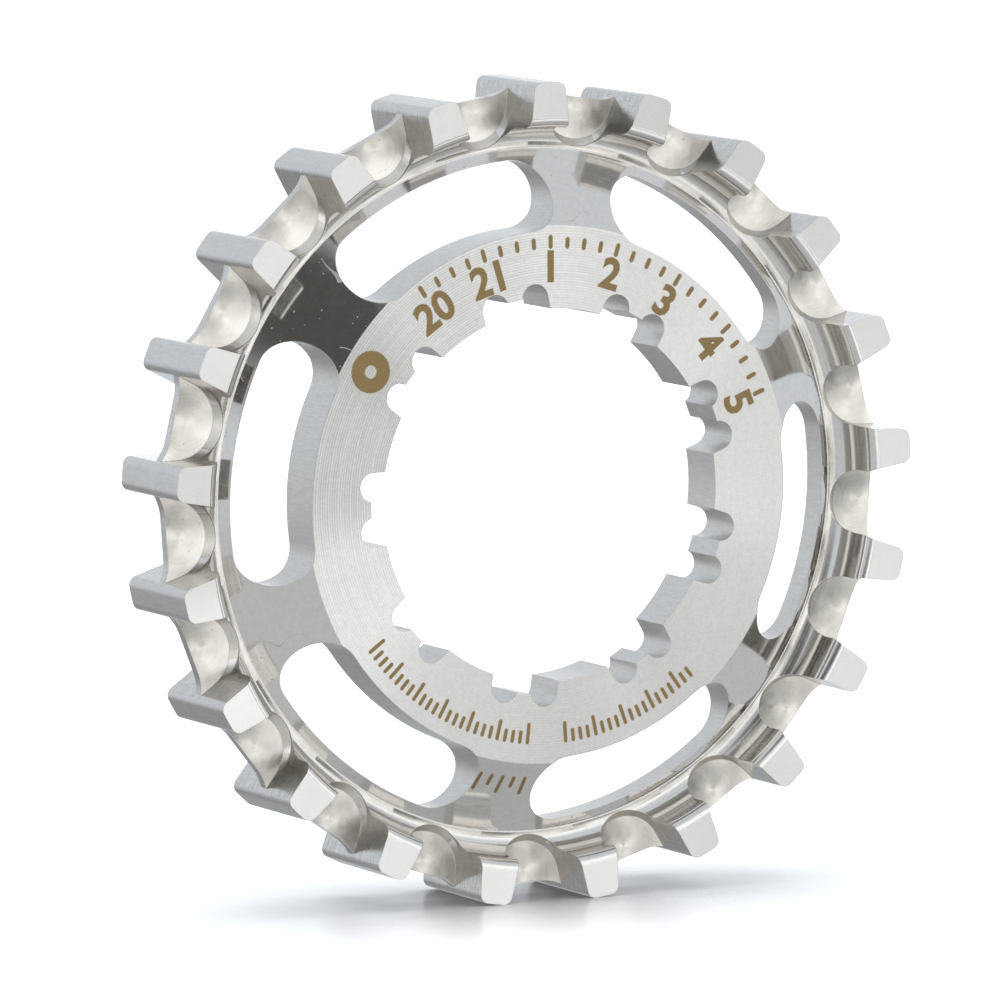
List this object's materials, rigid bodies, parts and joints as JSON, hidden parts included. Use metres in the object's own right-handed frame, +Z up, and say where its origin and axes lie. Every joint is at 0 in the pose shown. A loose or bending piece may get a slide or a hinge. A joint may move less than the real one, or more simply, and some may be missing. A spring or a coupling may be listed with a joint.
{
  "type": "belt drive sprocket",
  "caption": "Toothed-belt rear sprocket for a bicycle, with a narrow centre fin between the teeth, a dished web with curved windows and a splined bore.",
  "frame": {"origin": "on the bore axis, at the middle of the toothed rim's width", "axes": "+Y along the bore axis towards the wheel, so the outer face with the marks looks to -Y; +Z up through the middle of one tooth; +X to the right when seen from the outer face"},
  "size_m": [0.0714, 0.011, 0.0712],
  "materials": {
    "stainless": "polished stainless steel, finely turned on the hub face and rim, with milled windows and bore"
  },
  "bodies": {
    "root": {"sprocket": "stainless"}
  },
  "joints": []
}
